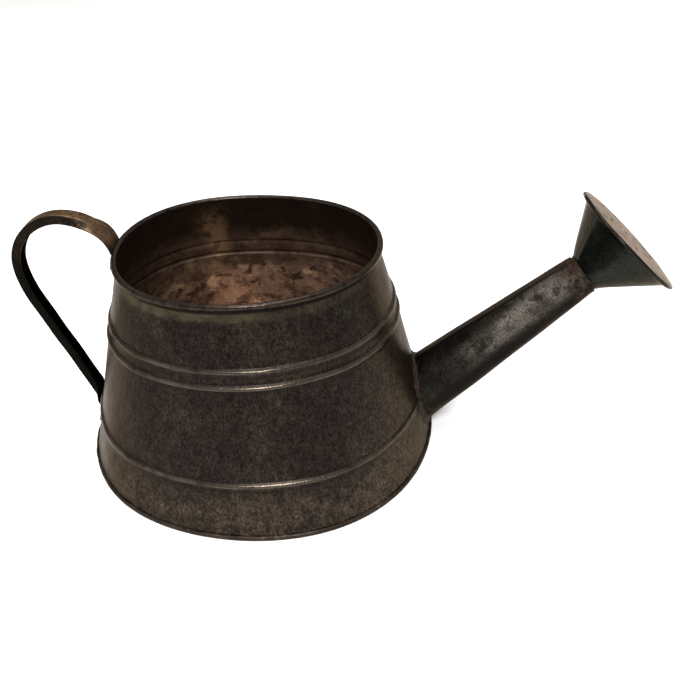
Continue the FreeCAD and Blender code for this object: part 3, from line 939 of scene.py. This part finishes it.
def inside_finish():
    """Plating seen inside: warm, spangled, spotted, with painted shade high up and at the ends, and one
    painted highlight streak.
    """
    f = Finish("body_inside", tone(136, 112, 95), 0.6, 0.34)
    spots = f.noise(8.0, 2.0, 0.4, (1.0, 1.0, 1.3), 0.6)
    f.ramp(f.noise(26.0, 4.0, 0.6), 0.42, 0.62, tone(168, 140, 120), 0.7)
    f.ramp(f.noise(11.0, 5.0, 0.65), 0.46, 0.62, tone(74, 54, 44), 0.85)
    f.ramp(f.noise(16.0, 3.0, 0.5), 0.56, 0.68, tone(214, 184, 152), 0.7)
    f.ramp(spots, 0.60, 0.64, tone(52, 36, 32), 0.85)
    f.shade(f.cells(3.4), 0.8, 1.15)
    f.shade(f.between(f.noise(1.3, 3.0, 0.8), 0.32, 0.68), 0.7, 1.3)
    level = f.math("ADD", f.axis("Z"), f.spread(f.noise(14.0), -0.010, 0.010))
    # painted shade: the inside darkens from around the beads up to the rim
    f.ramp(level, 0.070, 0.090, tone(64, 48, 39), 0.8)
    f.ramp(level, 0.100, 0.116, tone(24, 18, 14), 0.9)
    # painted reflection: a pale warm streak up the back wall, left of centre
    scuffs_and_painted_highlight = f.both(f.between(f.axis("Y"), 0.03, 0.06), f.window(level, 0.082, 0.026, 0.03))
    scuffs_and_painted_highlight = f.both(f.window(f.axis("X"), -0.034, 0.002, 0.013), scuffs_and_painted_highlight)
    scuffs_and_painted_highlight = f.both(scuffs_and_painted_highlight, f.between(f.noise(8.0, 4.0, 0.6), 0.36, 0.60))
    f.paint(scuffs_and_painted_highlight, tone(176, 140, 104), 0.4)
    # painted shade: the left and right ends of the inside are painted darker
    side = f.between(f.math("ABSOLUTE", f.axis("X")), 0.030, 0.085)
    f.paint(side, tone(40, 29, 22), 0.55)
    f.rough(f.noise(12.0), 0.26, 0.46)
    f.bump((spots, 0.2), (f.noise(1.2, 3.0), 0.05))
    return f.done()


def pan_finish():
    """Brown, with pale scuffs where the can stands."""
    f = Finish("pan_outside", tone(52, 44, 37), 0.85, 0.45)
    scuffs_and_painted_highlight = f.noise(5.0, 5.0, 0.65)
    f.ramp(f.noise(16.0, 5.0), 0.46, 0.62, tone(32, 27, 23), 0.7)
    f.ramp(scuffs_and_painted_highlight, 0.55, 0.68, tone(98, 88, 76), 0.5)
    f.shade(f.noise(1.4, 4.0, 0.7), 0.7, 1.3)
    f.rough(scuffs_and_painted_highlight, 0.35, 0.6)
    f.bump((f.noise(9.0), 0.35), (f.noise(1.6, 3.0), 0.08))
    return f.done()


def spout_finish():
    """Blackened and mottled, a soft grey painted sheen along its upper side, painted shade along its
    underside, rusty roughness at the tip.
    """
    f = Finish("spout_outside", tone(20, 19, 17), 0.88, 0.40)
    patches = f.noise(17.0, 6.0, 0.6, distortion=0.4)
    grain = f.noise(1.2, 4.0, 0.75)
    up = f.along(SPOUT_ROOT, -SPOUT_DOWN)
    reach = f.along(SPOUT_ROOT, SPOUT_AXIS)
    toward_tip = f.between(reach, 0.005, 0.100)
    # painted sheen: a soft grey band along the spout's upper side, stronger towards the tip
    painted_sheen = f.both(f.window(up, 0.0075, 0.0040, 0.0065), toward_tip)
    f.ramp(patches, 0.44, 0.64, tone(36, 34, 29), 0.75)
    f.paint(painted_sheen, tone(62, 57, 52), 0.8)
    # painted highlight: paler patches within the same upper band, midway along
    pale = f.both(f.window(up, 0.0080, 0.0030, 0.0050),
                  f.between(f.noise(19.0, 3.0, 0.5), 0.46, 0.60))
    f.paint(f.both(pale, f.window(reach, 0.082, 0.026, 0.020)), tone(92, 86, 80), 0.7)
    f.ramp(f.noise(8.0, 5.0, 0.65), 0.50, 0.64, tone(12, 12, 9), 0.75)
    # painted shade: the spout darkens towards its underside
    f.ramp(up, 0.001, -0.007, tone(8, 8, 6), 0.85)
    f.shade(f.between(grain, 0.34, 0.66), 0.45, 1.55)
    fold = f.both(f.between(f.axis("Y"), -0.0018, -0.0012), f.between(up, 0.007, 0.010))
    f.paint(fold, tone(52, 44, 37), 0.7)
    seam = f.window(f.axis("Y"), -0.0017, 0.0003, 0.0005)
    f.paint(f.both(seam, f.between(up, 0.008, 0.010)), tone(6, 5, 4), 0.85)
    end = SPOUT_LENGTH * MM
    tip = f.between(reach, end - 0.0133, end - 0.0053)
    f.paint(f.both(tip, f.between(f.noise(3.0, 4.0, 0.7), 0.44, 0.6)), tone(60, 44, 35), 0.8)
    f.paint(f.both(tip, f.between(f.noise(2.4, 4.0, 0.7), 0.52, 0.6)), tone(13, 11, 10), 0.8)
    root = f.between(reach, 0.012, 0.002)
    f.paint(f.both(root, f.between(f.noise(5.0, 4.0, 0.7), 0.46, 0.66)), tone(62, 42, 34), 0.5)
    f.rough(patches, 0.32, 0.52)
    f.bump((patches, 0.7), (f.noise(5.0, 4.0), 0.2), (grain, 0.10))
    return f.done()


def solder_finish(name, colour, rust):
    """Dull lumpy solder; rust is how much of it has gone brown."""
    f = Finish(name, colour, 0.7, 0.5)
    lumps = f.noise(3.0, 5.0, 0.65)
    f.ramp(f.noise(4.0, 5.0, 0.7), 0.62 - 0.3 * rust, 0.72 - 0.2 * rust, tone(68, 47, 36), 0.85)
    f.ramp(f.noise(2.2, 4.0, 0.6), 0.56, 0.68, tone(34, 28, 24), 0.7)
    f.shade(f.noise(1.0, 3.0, 0.7), 0.75, 1.25)
    f.rough(lumps, 0.4, 0.75)
    f.bump((lumps, 0.35), (f.noise(0.9, 3.0), 0.08))
    return f.done()


def handle_finish():
    """Brown on top where hands have rubbed it, painted lighter at the crown as painted light from above,
    black down its sides and inside.
    """
    f = Finish("handle_skin", tone(9, 8, 6), 0.93, 0.45)
    patches = f.noise(9.0, 5.0, 0.6)
    height = f.math("ADD", f.axis("Z"), f.spread(f.noise(7.0), -0.006, 0.006))
    crown = f.between(height, 0.118, 0.142)
    flange = f.sideways()
    web = f.math("SUBTRACT", 1.0, flange)
    # the crown's outer face painted light brown and its sides a little lighter: partly rubbed metal,
    # partly painted light from above
    f.paint(f.both(crown, web), tone(95, 75, 57), 0.9)
    f.paint(f.both(crown, flange), tone(44, 36, 29), 0.3)
    f.paint(f.both(web, f.between(f.axis("Z"), 0.13, 0.05)), tone(30, 25, 19), 0.6)
    f.paint(f.both(web, f.between(patches, 0.56, 0.66)), tone(40, 31, 23), 0.6)
    f.paint(f.both(crown, f.between(f.noise(5.0, 5.0, 0.7), 0.6, 0.7)), tone(118, 78, 42), 0.6)
    f.shade(f.between(f.noise(1.8, 4.0, 0.7), 0.34, 0.66), 0.62, 1.38)
    f.shade(f.between(f.noise(8.0, 4.0, 0.6), 0.3, 0.7), 0.75, 1.25)
    f.rough(patches, 0.32, 0.55)
    f.bump((patches, 0.3), (f.noise(1.4, 4.0), 0.08))
    return f.done()


def rose_finish():
    """Near-black green cone, browner along its underside, its rolled brim dark and polished."""
    f = Finish("rose_outside", tone(28, 31, 28), 0.85, 0.40)
    patches = f.noise(13.0, 6.0, 0.6, distortion=0.5)
    height = f.along(THROAT, -ROSE_DOWN)
    f.ramp(patches, 0.48, 0.64, tone(36, 37, 32), 0.7)
    low = f.between(height, -0.010, -0.024)
    f.paint(f.both(low, f.between(f.noise(8.0, 5.0, 0.6), 0.36, 0.56)), tone(64, 57, 50), 0.8)
    f.ramp(f.noise(5.0, 4.0, 0.7), 0.62, 0.72, tone(76, 54, 40), 0.6)
    f.shade(f.between(f.noise(1.5, 4.0, 0.7), 0.34, 0.66), 0.55, 1.45)
    brim = f.between(f.along(ROSE_CENTRE, ROSE_AXIS), -0.0032, -0.0018)
    f.paint(brim, tone(30, 28, 24), 0.8)
    f.rough(f.math("SUBTRACT", patches, brim), 0.20, 0.50)
    f.bump((patches, 0.5), (f.noise(1.6, 4.0), 0.09))
    return f.done()


def rose_face_finish():
    """Dull tan sheet with darker patches and specks."""
    f = Finish("rose_front", tone(132, 115, 99), 0.45, 0.5)
    patches = f.noise(9.0, 6.0, 0.6)
    f.ramp(patches, 0.5, 0.64, tone(92, 76, 62), 0.75)
    f.ramp(f.noise(3.4, 5.0, 0.7), 0.56, 0.68, tone(72, 56, 44), 0.7)
    f.shade(f.between(f.noise(1.2, 4.0, 0.7), 0.3, 0.7), 0.75, 1.25)
    f.rough(patches, 0.42, 0.62)
    f.bump((patches, 0.3), (f.noise(1.4, 4.0), 0.06))
    return f.done()


def wire_finish():
    """Drawn wire, hidden in the roll and left grey."""
    f = Finish("wire_drawn", tone(120, 116, 110), 0.8, 0.4)
    f.shade(f.noise(2.0, 4.0, 0.7), 0.7, 1.2)
    f.rough(f.noise(5.0), 0.3, 0.55)
    f.bump((f.noise(1.0, 3.0), 0.04))
    return f.done()


# ---- put the pieces in place --------------------------------------------------------------
def place_piece(obj, body, node, slot, *finishes):
    """Say which CAD node a piece replaces, what it is made of and which body carries it."""
    for finish in finishes:
        obj.data.materials.append(finish)
    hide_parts(node)
    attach(obj, body)


plating = inside_finish()
place_piece(make_body_wall(body_finish(), plating), "can", "body_wall", "body_steel")
place_piece(make_rim_wire(), "can", "rim_wire", "rim_wire_steel", wire_finish())
place_piece(make_base_pan(), "can", "base_pan", "pan_steel", pan_finish(), plating)
place_piece(make_base_solder(), "can", "base_solder", "solder",
            solder_finish("solder_seal", tone(104, 98, 90), 0.2))
spout = spout_finish()
place_piece(make_spout_tube(), "can", "spout_tube", "spout_steel", spout)
dark_solder = solder_finish("solder_dark", tone(40, 34, 29), 0.35)
rusty_solder = solder_finish("solder_rusty", tone(78, 54, 38), 0.9)
place_piece(make_spout_solder(), "can", "spout_solder", "solder", dark_solder)
place_piece(make_handle_strap(), "can", "handle_strap", "handle_steel", handle_finish())
rim_patch = solder_blob("handle_rim_solder_patch", height=127.0, tall=8.5, wide=23.0, thick=1.0,
                        side=-RIM_SHIFT, seed=3)
foot_patch = solder_blob("handle_foot_solder_patch", height=14.5, tall=16.0, wide=22.0, thick=1.8,
                         side=0.0, seed=5)
place_piece(rim_patch, "can", "handle_rim_solder", "solder", dark_solder)
place_piece(foot_patch, "can", "handle_foot_solder", "solder", rusty_solder)
place_piece(make_rose_neck(), "rose", "rose_neck", "spout_steel", spout)
cone_steel = rose_finish()
place_piece(make_rose_cone(), "rose", "rose_cone", "rose_steel", cone_steel)
place_piece(make_rose_face(rose_face_finish(), cone_steel), "rose", "rose_face", "rose_face_steel")
place_piece(make_rose_solder(), "rose", "rose_solder", "solder", dark_solder)


# ---- floor, light and camera ---------------------------------------------------------------
def make_floor():
    """A wide sheet of white paper."""
    mesh = bpy.data.meshes.new("floor")
    far = 6.0
    corners = [(-far, -far, 0.0), (far, -far, 0.0), (far, far, 0.0), (-far, far, 0.0)]
    mesh.from_pydata(corners, [], [(0, 1, 2, 3)])
    floor = bpy.data.objects.new("floor", mesh)
    bpy.context.scene.collection.objects.link(floor)
    mesh.materials.append(Finish("floor_paper", tone(250, 250, 250), 0.0, 0.9).material)


def soft_light(name, place, aim, size, power):
    """A square soft box, in metres and watts."""
    light = bpy.data.lights.new(name, "AREA")
    light.size = size
    light.energy = power
    obj = bpy.data.objects.new(name, light)
    obj.location = place
    obj.rotation_euler = (Vector(aim) - Vector(place)).to_track_quat("-Z", "Y").to_euler()
    bpy.context.scene.collection.objects.link(obj)


def set_world(strength):
    """Even, slightly warm light from all round."""
    world = bpy.data.worlds.new("studio")
    world.use_nodes = True
    background = world.node_tree.nodes["Background"]
    background.inputs["Color"].default_value = (1.0, 0.985, 0.965, 1.0)
    background.inputs["Strength"].default_value = strength
    bpy.context.scene.world = world


def set_camera():
    """The camera looks down at the can from the front, rolled a little clockwise."""
    azimuth, elevation, roll = math.radians(1.144), math.radians(33.313), math.radians(1.731)
    distance = 0.513
    target = Vector((60.20, 0.0, 58.12)) * MM
    turn = Matrix.Rotation(azimuth, 4, "Z") @ Matrix.Rotation(math.pi / 2 - elevation, 4, "X")
    turn = turn @ Matrix.Rotation(-roll, 4, "Z")
    data = bpy.data.cameras.new("camera")
    data.sensor_width = 36.0
    data.lens = 40.317
    data.clip_start = 0.01
    camera = bpy.data.objects.new("camera", data)
    camera.matrix_world = Matrix.Translation(target) @ turn @ Matrix.Translation((0.0, 0.0, distance))
    bpy.context.scene.collection.objects.link(camera)
    bpy.context.scene.camera = camera


make_floor()
set_world(0.8)
soft_light("overhead", (0.05, 0.10, 1.6), (0.05, 0.0, 0.05), 0.9, 17.0)
soft_light("front", (0.10, -1.30, 1.50), (0.0, 0.03, 0.06), 0.5, 34.0)
soft_light("left", (-1.5, -0.9, 0.9), (0.0, 0.0, 0.08), 0.9, 3.0)
set_camera()
bpy.context.scene.view_settings.view_transform = "Standard"
